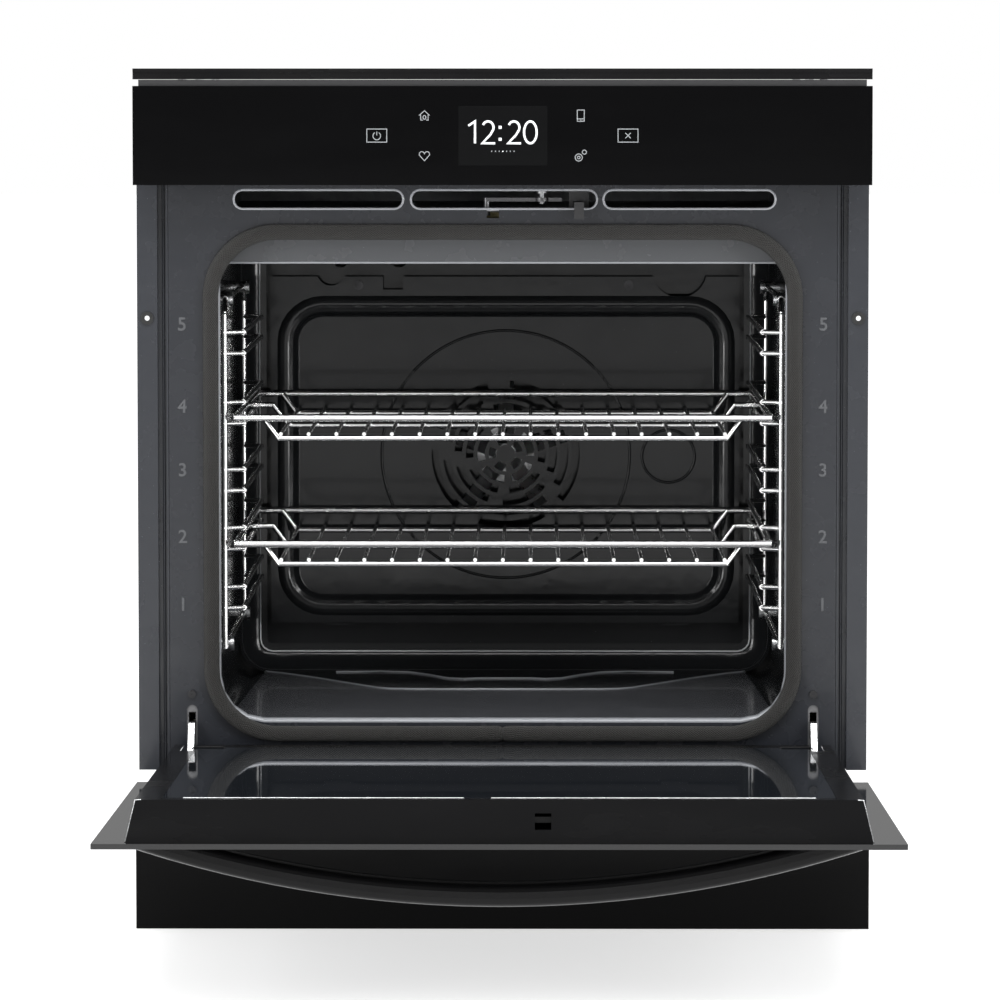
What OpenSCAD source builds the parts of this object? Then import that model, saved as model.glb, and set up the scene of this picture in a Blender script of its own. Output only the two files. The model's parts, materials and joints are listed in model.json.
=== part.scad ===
// Built-in electric wall oven with a drop-down door, two wire racks and a rear convection fan.
// X runs to the right, Y runs back into the cabinet and Z runs up, all in millimetres.
// Y = 0 is the cabinet face that the side trims seat on, and Z = 0 is the shelf the oven stands on.
// The door is drawn closed and then laid open about its hinge pins, which is the rest position.

/* [Front] */
// Width of the visible front
front_w = 595; // [590:1:600]
// Height of the visible front
front_h = 697; // [690:1:700]
// How far the glass faces stand out of the cabinet face
front_out = 44; // [42:1:48]
// Height of the glass control panel
panel_h = 79.6; // [70:0.1:90]
// Height of the lower trim
lower_trim_h = 104; // [90:1:106]

/* [Body] */
// Width of the sheet steel body behind the front
body_w = 556; // [550:1:558]
// Depth of the body behind the cabinet face
body_d = 535; // [520:1:560]
// Thickness of the sheet steel
sheet = 1.2; // [0.8:0.1:1.5]

/* [Cavity] */
// Inside width of the cavity
cavity_w = 472; // [466:1:474]
// Inside depth of the cavity
cavity_d = 420; // [410:1:425]
// Height of the cavity floor
cavity_low = 163; // [162:1:165]
// Height of the cavity ceiling
cavity_high = 566; // [564:1:567]
// Width of the front throat
throat_w = 462; // [456:1:464]
// Bottom of the front throat
throat_low = 166; // [165:1:168]
// Top of the front throat
throat_high = 559; // [556:1:561]
// Corner radius of the front throat
throat_r = 35; // [30:1:40]

/* [Door] */
// Angle between the closed door and the open door
door_open = 88.2; // [80:0.1:90]
// Height of the hinge pins
pivot_z = 122; // [121:0.5:123]
// Distance of the hinge pins in front of the cabinet face
pivot_out = 36; // [35.8:0.1:36.2]
// Height of the outer door glass
door_h = 489; // [485:1:490]
// Thickness of each glass pane
glass_t = 4; // [4:0.5:4]
// Gap between the front frame and the closed door
door_gap = 9.3; // [9:0.1:10]
// Distance of both hinges from the middle
hinge_x = 254; // [253:1:255]

/* [Handle] */
// How far the middle of the handle stands out of the glass
handle_out = 46.7; // [40:0.1:50]
// Radius of the handle's outer bow
handle_r = 871; // [840:1:900]
// Thickness of the handle bar
handle_t = 18.3; // [16:0.1:20]
// Width of the handle bar
handle_w = 28; // [24:1:30]

/* [Racks] */
// Level that the upper rack sits on, counted from the bottom
upper_level = 4; // [4:1:5]
// Level that the lower rack sits on, counted from the bottom
lower_level = 2; // [1:1:2]
// Width of a rack over its side bars
rack_w = 446; // [440:1:448]
// Number of grid wires in a rack
rack_wires = 17; // [13:1:21]

/* [Fan] */
// Radius of the convection fan
fan_r = 66; // [60:1:70]
// Number of fan blades
fan_blades = 5; // [4:1:8]

/* [Hidden] */
$fn = 48;
hw = front_w / 2;
bw = body_w / 2;
cw = cavity_w / 2;
tw = throat_w / 2;
top_z = front_h - 11;
panel_low = front_h - 14 - panel_h;
panel_high = front_h - 14;
glass_y = -front_out;
glass_back = glass_y + glass_t;
pivot_y = -pivot_out;
door_low = pivot_z - 11.6;
door_high = door_low + door_h;
door_in = -door_gap;
frame_hw = bw - 6;
trim_low = 124.7;
trim_h = top_z - 130.7;
mount_z = 494.5;
mount_x = hw - 8.2;
rack_pitch = 22.8;
shelf_low = [253.1, 302.1, 350.3, 405.8, 463.5];
shelf_gap = 17.4;
support_front = 45;
support_rear = 357;
shelf_wire = 4.4;
fan_x = 0.7;
fan_z = 356.6;
cover_y = 402;
cover_sink = 6;
pocket_y = cavity_d + 20;
duct_low = 581.5;
duct_high = 602;
blower_y = 330;
blower_z = 645;
blower_r = 27;
latch_x = 32;
latch_y = 20;
latch_z = 590.5;
latch_reach = 45;
switch_x = 62;
broil_ends = [-146, -94];
broil_end_z = 530;
rack_seat = 5.5;
stud_in = 13;
lamp_x = 150;
fan_hub_r = 26;
blade_w = 17.2;
blade_tilt = 50;
lamp_y = 388;

enamel = "#3e4046";
black = "#161616";
zinc = "#9a9d9f";
steel = "#c9cccd";

// ---- drawing helpers ----

// A drawing in x and z, made into a plate between y0 and y0 + t
module xz_plate(y0, t) {
  translate([0, y0 + t, 0]) rotate([90, 0, 0]) linear_extrude(t) children();
}

// A drawing in y and z, made into a plate between x0 and x0 + t
module yz_plate(x0, t) {
  translate([x0, 0, 0]) rotate([90, 0, 90]) linear_extrude(t) children();
}

// A drawing in x and y, made into a plate between z0 and z0 + t
module xy_plate(z0, t) {
  translate([0, 0, z0]) linear_extrude(t) children();
}

// A box given by its lowest and highest corners
module box(a, b) {
  translate(a) cube(b - a);
}

// A flat rectangle from corner a to corner b
module rect(a, b) {
  translate(a) square(b - a);
}

// A flat rectangle with corners rounded to radius r
module round_rect(a, b, r) {
  rect([a.x + r, a.y], [b.x - r, b.y]);
  rect([a.x, a.y + r], [b.x, b.y - r]);
  for (x = [a.x + r, b.x - r], y = [a.y + r, b.y - r]) translate([x, y]) circle(r);
}

// A level slot with round ends, w long and h high, centred on p
module slot(p, w, h) {
  round_rect(p - [w, h] / 2, p + [w, h] / 2, h / 2 - 0.01);
}

// Both sides of the oven
module both() {
  for (side = [-1, 1]) scale([side, 1, 1]) children();
}

// A straight round bar from p to q
module bar(p, q, d) {
  v = q - p;
  translate(p) rotate([0, acos(v.z / norm(v)), atan2(v.y, v.x)]) cylinder(h = norm(v), d = d);
}

// A bent wire through the points p, with a slightly larger ball in each bend
module wire(p, d) {
  for (i = [0:len(p) - 2]) bar(p[i], p[i + 1], d);
  for (i = [1:len(p) - 2]) translate(p[i]) sphere(d = d * 1.04);
}

// A bent wire through the points p, where each straight runs a little past its bends
module welded_wire(p, d) {
  for (i = [0:len(p) - 2]) {
    past = 0.4 * d * (p[i + 1] - p[i]) / norm(p[i + 1] - p[i]);
    bar(p[i] - past, p[i + 1] + past, d);
  }
}

// A round pin along y with its head at y0, drawn forward
module screw(p, head_d, head_t, d, depth) {
  translate(p) rotate([90, 0, 0]) cylinder(h = head_t, d = head_d);
  translate(p + [0, depth, 0]) rotate([90, 0, 0]) cylinder(h = depth + 0.2, d = d);
}

// Lays the door parts, drawn closed, open about the hinge pins
module open_door() {
  translate([0, pivot_y, pivot_z]) rotate([door_open, 0, 0]) translate([0, -pivot_y, -pivot_z]) children();
}

// ---- body ----

module chassis_base() color(zinc) difference() {
  union() {
    box([-bw + 4, -20, 0], [bw - 4, body_d - 2, sheet]);
    both() box([bw - 4 - sheet, 10, 0], [bw - 4, body_d - 2, 22]);
    box([-bw + 4, body_d - 2 - sheet, 0], [bw - 4, body_d - 2, 22]);
    box([-bw + 30, -20, 0], [bw - 30, -20 + sheet, 30]);
    for (x = [-180, 0, 180]) box([x - 12, 30, sheet - 0.2], [x + 12, body_d - 30, sheet + 5]);
  }
  for (x = [-90, 90], i = [0:7]) translate([0, 0, -1]) linear_extrude(4) slot([x, 90 + 50 * i], 110, 8);
}

// One side wall with flanged edges, two pressed ribs and a row of cooling slots
module side_panel() color(zinc) {
  difference() {
    yz_plate(bw - sheet, sheet) rect([9, 1], [body_d, top_z]);
    for (i = [0:5]) translate([bw - 3, 0, 0]) rotate([90, 0, 90])
      linear_extrude(6) slot([330 + 30 * i, 640], 20, 6);
    for (i = [0:5]) translate([bw - 3, 0, 0]) rotate([90, 0, 90])
      linear_extrude(6) slot([330 + 30 * i, 625], 20, 6);
  }
  box([bw - 14, 9, 24], [bw - sheet + 0.2, 9 + sheet, top_z - sheet - 0.3]);
  for (z = [210, 470]) difference() {
    yz_plate(bw - 0.2, 2.2) slot([270, z], 420, 34);
    yz_plate(bw - 2, 2.8) slot([270, z], 408, 22);
  }
}

module side_panel_left() scale([-1, 1, 1]) side_panel();
module side_panel_right() side_panel();

module rear_panel() color(zinc) {
  xz_plate(body_d - sheet, sheet) difference() {
    rect([-bw + sheet + 0.3, 24], [bw - sheet - 0.3, top_z]);
    for (x = [-190, 190], i = [0:8]) slot([x, 90 + 16 * i], 90, 7);
    for (x = [-120, 120], i = [0:3]) slot([x, 600 + 14 * i], 120, 6);
    translate([fan_x, fan_z]) circle(r = 62);
  }
  translate([fan_x, body_d - 0.2, fan_z]) rotate([-90, 0, 0]) difference() {
    cylinder(h = 10.2, r = 72);
    translate([0, 0, -1]) cylinder(h = 10, r = 70);
    for (a = [0:30:330]) rotate(a) translate([45, 0, 5]) cylinder(h = 10, r = 5);
    for (a = [0:60:300]) rotate(a) translate([22, 0, 5]) cylinder(h = 10, r = 5);
  }
}

module top_cover() color(zinc) {
  xy_plate(top_z - sheet, sheet) difference() {
    rect([-bw + sheet + 0.3, 2], [bw - sheet - 0.3, body_d - sheet - 0.3]);
    for (x = [-150, 150], i = [0:9]) slot([x, 120 + 18 * i], 120, 7);
  }
  for (x = [-220, 220]) box([x - 10, 60, top_z - 5], [x + 10, body_d - 60, top_z - 1]);
}

// Enamelled front frame: throat, three air slots, hinge slots and screw holes
module front_frame() color(enamel) xz_plate(0, sheet) difference() {
  rect([-frame_hw, 32], [frame_hw, top_z - 2]);
  round_rect([-tw, throat_low], [tw, throat_high], throat_r);
  round_rect([-218, 584], [-81.5, 598], 6.6);
  round_rect([-74, 584], [76, 598], 6.6);
  round_rect([82.5, 584], [221, 598], 6.6);
  both() round_rect([hinge_x - 4.4, 128], [hinge_x + 4.4, 178], 4.2);
  both() translate([hinge_x, 187]) circle(r = 2);
  both() translate([hinge_x, 60]) circle(r = 2);
  rect([-60, 625], [60, 665]);
  rect([-13, 575.8], [-3, 590]);
}

// Profiled side trim: cabinet flange, groove and bead, with the cabinet screw hole
module side_trim() color(enamel) difference() {
  union() {
    xy_plate(trim_low, trim_h) {
      rect([bw + 4, -1], [hw, 0]);
      rect([bw + 3, -1], [bw + 4.2, 8]);
      rect([frame_hw + 0.6, 6.8], [bw + 4, 8]);
      rect([frame_hw + 0.4, 0], [frame_hw + 1.6, 8]);
    }
    translate([frame_hw + 4.4, 6.9, trim_low]) cylinder(h = trim_h, r = 1.2);
  }
  translate([mount_x, 5, mount_z]) rotate([90, 0, 0]) cylinder(h = 10, r = 4);
}

module side_trim_left() scale([-1, 1, 1]) side_trim();
module side_trim_right() side_trim();

// Grommets that the two cabinet screws go through
module mount_grommets() color(black) both() translate([mount_x, -1, mount_z]) rotate([90, 0, 0]) difference() {
  union() {
    cylinder(h = 1.8, r = 5.25);
    translate([0, 0, -1]) cylinder(h = 1.2, r = 4);
  }
  translate([0, 0, -2]) cylinder(h = 6, r = 2.1);
}

module frame_screws() color(zinc) both() for (z = [60, 187]) difference() {
  screw([hinge_x, 0, z], 6.5, 2.2, 3.9, 9);
  translate([hinge_x, -1.4, z]) rotate([90, 0, 0]) cylinder(h = 3, r = 1.5, $fn = 6);
}

module top_trim() color(black) difference() {
  union() {
    box([-hw, -front_out + 3, front_h - 8.7], [hw, -1, front_h - 0.3]);
    box([-hw, -front_out + 2, front_h - 3], [hw, 0, front_h]);
  }
  box([-hw + 3, -front_out + 6, front_h - 10], [hw - 3, -3, front_h - 3]);
}

// Lower trim: front sheet with returns at the top and both ends
module lower_trim() color(black) difference() {
  union() {
    box([-hw, glass_y, 0], [hw, glass_y + 1.5, lower_trim_h]);
    box([-hw, glass_y, lower_trim_h - 1.5], [hw, -1, lower_trim_h]);
    both() box([hw - 1.5, glass_y, 0], [hw, -1, lower_trim_h]);
    both() box([200, glass_y + 1, 20], [214, -20.2, 26]);
    both() box([bw + 3, -2.2, 4], [hw - 1, -1, lower_trim_h]);
  }
  for (i = [-8:8]) translate([0, 0, lower_trim_h - 4]) linear_extrude(8) slot([i * 30, -20], 22, 7);
}

// ---- control panel ----

module control_glass() color(black) {
  box([-hw, glass_y, panel_low], [hw, glass_back, panel_high]);
}

// Carrier behind the glass, open at the back
module control_housing() color(black) difference() {
  box([-hw + 4.5, glass_back, panel_low + 2], [hw - 4.5, -1.5, front_h - 9]);
  box([-hw + 6.5, glass_back + 4, panel_low + 4], [hw - 6.5, 0, front_h - 11]);
  box([-40, glass_back - 1, panel_low + 10], [40, glass_back + 6, panel_high - 10]);
  for (i = [-9:9]) translate([i * 28, -12, panel_low]) cube([20, 5, 6]);
}

module display_module() color("#20242a") {
  box([-38, glass_back + 0.2, 617.5], [38, glass_back + 8, 668.5]);
  box([-30, glass_back + 7.8, 625], [30, glass_back + 9.8, 660]);
}

module control_board() color("#1d5c3a") {
  box([-125, glass_back + 12, 614], [125, glass_back + 13.6, 672]);
  for (x = [-110, 110], z = [622, 664]) translate([x, glass_back + 12.2, z])
    rotate([90, 0, 0]) cylinder(h = 8.1, r = 3);
  box([-20, glass_back + 13.4, 630], [8, glass_back + 16, 655]);
  box([40, glass_back + 13.4, 625], [80, glass_back + 21, 640]);
  for (x = [-100:20:-40]) translate([x, glass_back + 13.4, 645]) rotate([-90, 0, 0]) cylinder(h = 9, r = 4);
}

module power_board() color("#1d5c3a") {
  xy_plate(612, 1.8) rect([-215, 60], [-55, 210]);
  for (x = [-208, -62], y = [67, 203]) translate([x, y, duct_high]) cylinder(h = 10.2, r = 3.2);
  for (i = [0:4]) box([-205 + 29 * i, 80, 613.6], [-185 + 29 * i, 108, 630]);
  box([-200, 130, 613.6], [-160, 172, 645]);
  for (i = [0:2]) translate([-140 + 24 * i, 150, 613.6]) cylinder(h = 26, r = 9);
  box([-205, 186, 613.6], [-70, 198, 626]);
}

// ---- cavity ----

// Enamelled liner with a front flange, a fan pocket, a drip lip and side embossings
module cavity_liner() color("#2d2e30") difference() {
  union() {
    difference() {
      xz_plate(sheet, cavity_d) round_rect([-cw - sheet, cavity_low - sheet],
                                           [cw + sheet, cavity_high + sheet], 14 + sheet);
      xz_plate(-1, cavity_d + 1) round_rect([-cw, cavity_low], [cw, cavity_high], 14);
    }
    xz_plate(sheet, sheet) difference() {
      round_rect([-cw - 9, cavity_low - 9], [cw + 9, cavity_high + 9], 30);
      round_rect([-tw - 2, throat_low - 2], [tw + 2, throat_high + 2], throat_r);
    }
    xz_plate(cavity_d, 20 + sheet) round_rect([-196, 214], [196, 500], 26);
    drip_lip();
    for (x = [-147.8, 151]) box([x - 12, cover_y - 1, 205], [x + 12, cavity_d + 0.4, 206.6]);
  }
  xz_plate(cavity_d - 2, 22) round_rect([-194.8, 215.2], [194.8, 498.8], 24.8);
  translate([fan_x, pocket_y - 5, fan_z]) rotate([-90, 0, 0]) cylinder(h = 12, r = 9);
  for (x = broil_ends) translate([x, cavity_d - 3, broil_end_z]) rotate([-90, 0, 0]) cylinder(h = 8, r = 8);
  translate([lamp_x, lamp_y, cavity_high - 2]) cylinder(h = 8, r = 26);
  translate([-190, cavity_d - 3, 540]) rotate([-90, 0, 0]) cylinder(h = 8, r = 2.2);
  for (a = [35, 55]) translate([fan_x, pocket_y - 5, fan_z]) rotate([0, a, 0]) translate([86, 0, 0])
    rotate([-90, 0, 0]) cylinder(h = 12, r = 4);
}

// Lip that hangs from the ceiling behind the throat and sheds drips
module drip_lip() {
  xz_plate(22, sheet) difference() {
    rect([-cw - 0.5, 539], [cw + 0.5, cavity_high + 0.5]);
    both() polygon([[cw + 1, 500], [cw + 1, 559], [cw - 11, 551], [cw - 11, 500]]);
  }
  xy_plate(539, sheet) rect([-cw + 11.5, 22], [cw - 11.5, 30]);
}

// Mineral wool around the liner, cut away at the front, the fan pocket and the terminals
module insulation() color("#b9ab72") difference() {
  box([-bw + 12, 24, cavity_low - 34], [bw - 12, cavity_d + 20, cavity_high + 14]);
  xz_plate(10, cavity_d - 8) round_rect([-cw - 2, cavity_low - 14], [cw + 2, cavity_high + 2], 12);
  box([-200, cavity_d - 2, 208], [200, cavity_d + 30, 505]);
  box([-160, cavity_d - 3, 515], [-80, cavity_d + 30, 545]);
  translate([-190, cavity_d - 3, 540]) rotate([-90, 0, 0]) cylinder(h = 40, r = 8);
  box([lamp_x - 32, lamp_y - 32, cavity_high - 3], [lamp_x + 32, lamp_y + 31, cavity_high + 30]);
  both() box([hinge_x - 9, 20, 118], [hinge_x + 14, 62, 196]);
  both() translate([60, cavity_d, 155.5]) rotate([-90, 0, 0]) cylinder(h = 30, r = 4);
}

// Woven seal around the throat
module door_gasket() color("#5c5c4c") xz_plate(-8.8, 8.8) difference() {
  round_rect([-244, 148.5], [244, 571.1], 60);
  round_rect([-231.2, 161.3], [231.2, 558.3], 47.2);
}

// ---- convection ----

module fan_cover() color("#1e1f20") difference() {
  union() {
    xz_plate(cover_y, 1) difference() {
      rect([-207.5, 207], [207.5, 514.5]);
      round_rect([-188, 227], [190, 484], 27);
      translate([-154, 519]) circle(r = 12.5);
      translate([154.6, 520]) circle(r = 24);
      rect([-107.9, 503], [-90.2, 520]);
    }
    difference() {
      xz_plate(cover_y, cover_sink + 1) round_rect([-189, 226], [191, 485], 28);
      xz_plate(cover_y - 1, cover_sink + 1) round_rect([-188, 227], [190, 484], 27);
    }
    emboss_ring(fan_x, fan_z, 110);
    emboss_ring(145, 355, 23.4);
  }
  for (ring = [0:5]) fan_slots(11.8 + 10.14 * ring, 6.6, ring);
  for (x = [-129.6, 109.4]) translate([x, cover_y - 1, 507]) rotate([-90, 0, 0]) cylinder(h = 4, r = 2.2);
}

// A round bead pressed into the cover
module emboss_ring(x, z, r) {
  translate([x, cover_y + cover_sink + 0.3, z]) rotate([90, 0, 0])
    rotate_extrude() translate([r, 0]) circle(r = 1.3, $fn = 24);
}

// One ring of five curved slots; each ring is turned a little from the last
module fan_slots(r, w, ring) {
  arc = ring == 0 ? 44 : 54;
  for (k = [0:4]) translate([fan_x, cover_y + cover_sink - 1, fan_z]) rotate([-90, 0, 0])
    rotate([0, 0, 84.5 + 72 * k - 9 * (5 - ring) - arc / 2])
      rotate_extrude(angle = arc) translate([r - w / 2, 0]) square([w, 4]);
}

module fan_cover_screws() color(zinc) for (x = [-129.6, 109.4]) difference() {
  screw([x, cover_y, 507], 8.5, 2.4, 4.2, cavity_d - cover_y - 0.2);
  translate([x, cover_y - 1.2, 507]) rotate([90, 0, 0]) cylinder(h = 3, r = 1.6, $fn = 6);
}

// Wheel of tilted blades on a hub disc, with its shaft running back through the liner to the motor
module convection_fan() color("#b4b6b8") translate([fan_x, 0, fan_z]) {
  rotate([-90, 0, 0]) translate([0, 0, 431.6]) cylinder(h = 1.6, r = fan_hub_r);
  rotate([-90, 0, 0]) translate([0, 0, 418]) cylinder(h = 15, r = 9);
  rotate([-90, 0, 0]) translate([0, 0, 415.5]) cylinder(h = 3, r = 6);
  rotate([-90, 0, 0]) translate([0, 0, 420]) cylinder(h = 60, r = 4);
  for (i = [0:fan_blades - 1]) rotate([0, 360 / fan_blades * i - 90, 0]) translate([6, 426.4, 0])
    rotate([blade_tilt, 0, 0]) translate([0, -blade_w / 2, -0.8]) cube([fan_r - 8, blade_w, 1.6]);
}

// Heating coil of two turns around the fan, with its ends going back through the pocket
module ring_element() color("#6d6a66") translate([fan_x, 0, fan_z]) {
  for (y = [415, 426]) translate([0, y, 0]) rotate([90, 0, 0])
    rotate_extrude() translate([86, 0]) circle(r = 3.2, $fn = 24);
  for (a = [35, 55]) rotate([0, a, 0]) bar([86, 415, 0], [86, 470, 0], 6);
  bar([-86, 415, 0], [-86, 426, 0], 5);
}

module fan_motor() color("#77797b") difference() {
  union() {
    translate([fan_x, 446, fan_z]) rotate([-90, 0, 0]) cylinder(h = 3, r = 48);
    translate([fan_x, 448.8, fan_z]) rotate([-90, 0, 0]) cylinder(h = 42, r = 36);
    translate([fan_x, 442, fan_z]) rotate([-90, 0, 0]) cylinder(h = 55, r = 10);
    for (a = [45:90:315]) translate([fan_x, 441.4, fan_z]) rotate([0, a, 0]) translate([42, 0, 0])
      rotate([-90, 0, 0]) cylinder(h = 5, r = 4);
  }
  translate([fan_x, 440, fan_z]) rotate([-90, 0, 0]) cylinder(h = 45, r = 4.06);
}

// Serpentine grill element under the ceiling, behind the drip lip
module broil_element() color("#6d6a66") {
  wire([[broil_ends[0], 424, broil_end_z], [-146, 400, 552], [-190, 380, 552], [-190, 60, 552],
        [-110, 60, 552], [-110, 330, 552], [-30, 330, 552], [-30, 60, 552], [50, 60, 552],
        [50, 290, 552], [110, 290, 552], [110, 60, 552], [190, 60, 552], [190, 380, 552],
        [-94, 390, 552], [broil_ends[1], 424, broil_end_z]], 6.6);
  for (x = [-150, 0, 150]) box([x - 5, 58, 551], [x + 5, 62, cavity_high]);
}

// Hidden element below the cavity floor
module bake_element() color("#6d6a66")
  wire([[-60, 436, 155.5], [-60, 380, 155.5], [-180, 380, 155.5], [-180, 70, 155.5], [-60, 70, 155.5],
        [-60, 320, 155.5], [60, 320, 155.5], [60, 70, 155.5], [180, 70, 155.5], [180, 380, 155.5],
        [60, 380, 155.5], [60, 436, 155.5]], 6.6);

module lamp_housing() color(steel) difference() {
  union() {
    translate([lamp_x, lamp_y, cavity_high + sheet + 0.1]) cylinder(h = 10, r = 29);
    translate([lamp_x, lamp_y, cavity_high + 10]) cylinder(h = 24, r = 24);
  }
  translate([lamp_x, lamp_y, cavity_high - 1]) cylinder(h = 32, r = 22);
}

module lamp_bulb() color("#f2ead8") {
  translate([lamp_x, lamp_y, cavity_high + 20]) cylinder(h = 10.8, r = 7);
  translate([lamp_x, lamp_y, cavity_high + 14]) sphere(r = 10);
}

module lamp_lens() color("#dfe6e6") {
  translate([lamp_x, lamp_y, cavity_high - 4]) cylinder(h = 3, r = 28);
  difference() {
    translate([lamp_x, lamp_y, cavity_high - 1.2]) cylinder(h = 8, r = 21.6);
    translate([lamp_x, lamp_y, cavity_high - 0.4]) cylinder(h = 9, r = 19);
  }
}

module temperature_probe() color(steel) {
  translate([-190, 350, 540]) rotate([-90, 0, 0]) cylinder(h = 100, r = 2);
  translate([-190, 350, 540]) sphere(r = 2.1);
  translate([-190, cavity_d + 2.6, 540]) rotate([-90, 0, 0]) cylinder(h = 3, r = 6);
}

// ---- racks ----

// Chrome wire ladder for the right wall: two uprights and a pair of rails at each level
module shelf_support() color(steel) {
  upright = cw - 7;
  rail = cw - 22;
  welded_wire([[upright, support_front, 222], [upright, support_front, 496], [upright, support_front + 14, 508],
               [upright, support_rear - 14, 508], [upright, support_rear, 496], [upright, support_rear, 222],
               [upright, support_front, 222]], shelf_wire + 0.4);
  for (z = shelf_low, dz = [0, shelf_gap])
    welded_wire([[upright, support_front, z + dz], [rail, support_front + 8, z + dz],
                 [rail, support_rear - 8, z + dz], [upright, support_rear, z + dz]], shelf_wire);
}

module shelf_support_left() scale([-1, 1, 1]) shelf_support();
module shelf_support_right() shelf_support();

// Eyed studs that hold each ladder to the liner wall
module support_fixings() color(zinc) both() for (y = [support_front + 22, support_rear - 22], z = [222, 508])
  translate([cw - stud_in, y, z]) rotate([0, 90, 0]) difference() {
    union() {
      cylinder(h = stud_in, r = 4.6);
      cylinder(h = 2.6, r = 6);
    }
    translate([0, 0, 6]) rotate([90, 0, 0]) cylinder(h = 20, r = shelf_wire / 2 + 0.4, center = true);
  }

// A wire rack on the given level; its cross bars rest on the lower rails
module rack(level) color(steel) {
  z = shelf_low[level - 1] + rack_seat;
  side = rack_w / 2 - 3;
  front = 30;
  back = 398;
  drop = 17;
  for (x = [-side, side]) bar([x, front, z], [x, back, z], 6);
  for (x = [-side, side]) translate([x, front, z]) sphere(d = 6.3);
  bar([-side, front, z], [side, front, z], 6);
  bar([-side, back, z], [side, back, z], 6);
  for (x = [-side, side]) translate([x, back, z]) sphere(d = 6.3);
  for (y = [front + 8, 217, back - 8])
    wire([[-side, y, z + 0.2], [-197, y, z + 0.2], [-184, y, z - drop], [184, y, z - drop],
          [197, y, z + 0.2], [side, y, z + 0.2]], 4.6);
  for (i = [0:rack_wires - 1]) {
    x = (i - (rack_wires - 1) / 2) * rack_pitch;
    bar([x, front + 6, z - drop + 3.4], [x, back - 5, z - drop + 3.4], 3.2);
  }
}

module rack_upper() rack(upper_level);
module rack_lower() rack(lower_level);

// ---- cooling and electrics ----

// Flat duct that blows out of the front slots
module air_duct() color(zinc) difference() {
  box([-232, sheet + 1.6, duct_low], [232, blower_y + 30, duct_high]);
  box([-231, 0, duct_low + 1], [231, blower_y + 29, duct_high - 1]);
  box([-118, blower_y - 24, duct_high - 2], [118, blower_y + 24, duct_high + 1]);
  box([-30, 4, duct_low - 1], [82, 48, duct_high + 1]);
}

module blower_housing() color(zinc) difference() {
  box([-122, blower_y - 34, duct_high + 0.1], [122, blower_y + 34, blower_z + 34]);
  box([-120.8, blower_y - 32.8, duct_high - 1], [120.8, blower_y + 32.8, blower_z + 32.8]);
  box([-112, blower_y - 40, blower_z - 16], [112, blower_y - 30, blower_z + 16]);
  both() translate([121.4, blower_y, blower_z]) rotate([0, 90, 0]) cylinder(h = 6, r = 5, center = true);
}

// Drum of thin blades between two discs on one shaft
module blower_rotor() color("#8d9092") translate([0, blower_y, blower_z]) {
  rotate([0, 90, 0]) cylinder(h = 290, r = 3, center = true);
  for (x = [-112, -38, 36, 110]) translate([x, 0, 0]) rotate([0, 90, 0]) cylinder(h = 2, r = blower_r);
  for (a = [0:22.5:337.5]) rotate([a, 0, 0]) translate([-111, -0.7, blower_r - 7]) cube([222, 1.4, 6]);
}

module blower_motor() color("#77797b") difference() {
  union() {
    translate([126, blower_y, blower_z]) rotate([0, 90, 0]) cylinder(h = 34, r = 24);
    box([130, blower_y - 28, duct_high + 0.2], [156, blower_y + 28, blower_z - 14]);
  }
  translate([120, blower_y, blower_z]) rotate([0, 90, 0]) cylinder(h = 30, r = 3.05);
}

// Mains connection box on the rear panel
module junction_box() color(zinc) difference() {
  box([-210, body_d + 0.1, 560], [-110, body_d + 42, 590]);
  box([-208.8, body_d - 1, 561.2], [-111.2, body_d + 40.8, 588.8]);
  translate([-160, body_d + 21, 555]) cylinder(h = 10, r = 8.4);
}

// Conduit gland below the junction box
module conduit_gland() color(steel) difference() {
  union() {
    translate([-160, body_d + 21, 540]) cylinder(h = 23.8, r = 8.3);
    translate([-160, body_d + 21, 555]) cylinder(h = 5, r = 14, $fn = 6);
    translate([-160, body_d + 21, 561.3]) cylinder(h = 3.4, r = 12, $fn = 6);
  }
  translate([-160, body_d + 21, 530]) cylinder(h = 40, r = 6);
}

// ---- latch and door switch ----

module latch_base() color(zinc) {
  box([latch_x - 44, 6, 599], [latch_x + 12, 46, 600.6]);
  translate([latch_x, latch_y, latch_z - 3.4]) cylinder(h = 12, r = 2.4);
  translate([latch_x, latch_y, latch_z + 5]) cylinder(h = 4, r = 5);
  box([latch_x - 36, 10, 600.4], [latch_x + 8, 44, 624]);
}

// Hook whose down-turned tip swings out through the frame's notch and into the pocket in the door
module latch_hook() color(steel) translate([latch_x, latch_y, latch_z]) difference() {
  union() {
    translate([0, 0, -1.5]) cylinder(h = 3, r = 6);
    translate([-latch_reach, -3, -1.5]) cube([latch_reach + 16, 6, 3]);
    translate([-latch_reach, 0, -13]) cylinder(h = 14.5, r = 3);
  }
  translate([0, 0, -3]) cylinder(h = 6, r = 2.45);
}

module door_switch() color(black) difference() {
  box([switch_x - 8, 10, 583], [switch_x + 8, 34, 599]);
  box([switch_x - 4.4, 5, 584.6], [switch_x + 4.4, 32, 589.4]);
}

// Plunger that the closed door pushes back
module switch_plunger() color("#26282a") {
  box([switch_x - 4, -12, 585], [switch_x + 4, 24, 589]);
  box([switch_x - 4, -13.2, 575.5], [switch_x + 4, -9.4, 589]);
}

// ---- hinges ----

// Receivers behind the front frame, which the hinge arms hook into
module hinge_receivers() color(steel) both() {
  difference() {
    box([hinge_x - 8, sheet + 0.1, 120], [hinge_x + 8, 60, 194]);
    box([hinge_x - 6.8, sheet + 1.5, 119], [hinge_x + 6.8, 61, 195]);
    box([hinge_x - 2.9, 0, 131], [hinge_x + 2.9, 10, 172]);
    translate([hinge_x, 0, 187]) rotate([-90, 0, 0]) cylinder(h = 10, r = 2);
  }
  translate([hinge_x - 7, 34, 146]) rotate([0, 90, 0]) cylinder(h = 14, r = 3);
}

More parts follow.
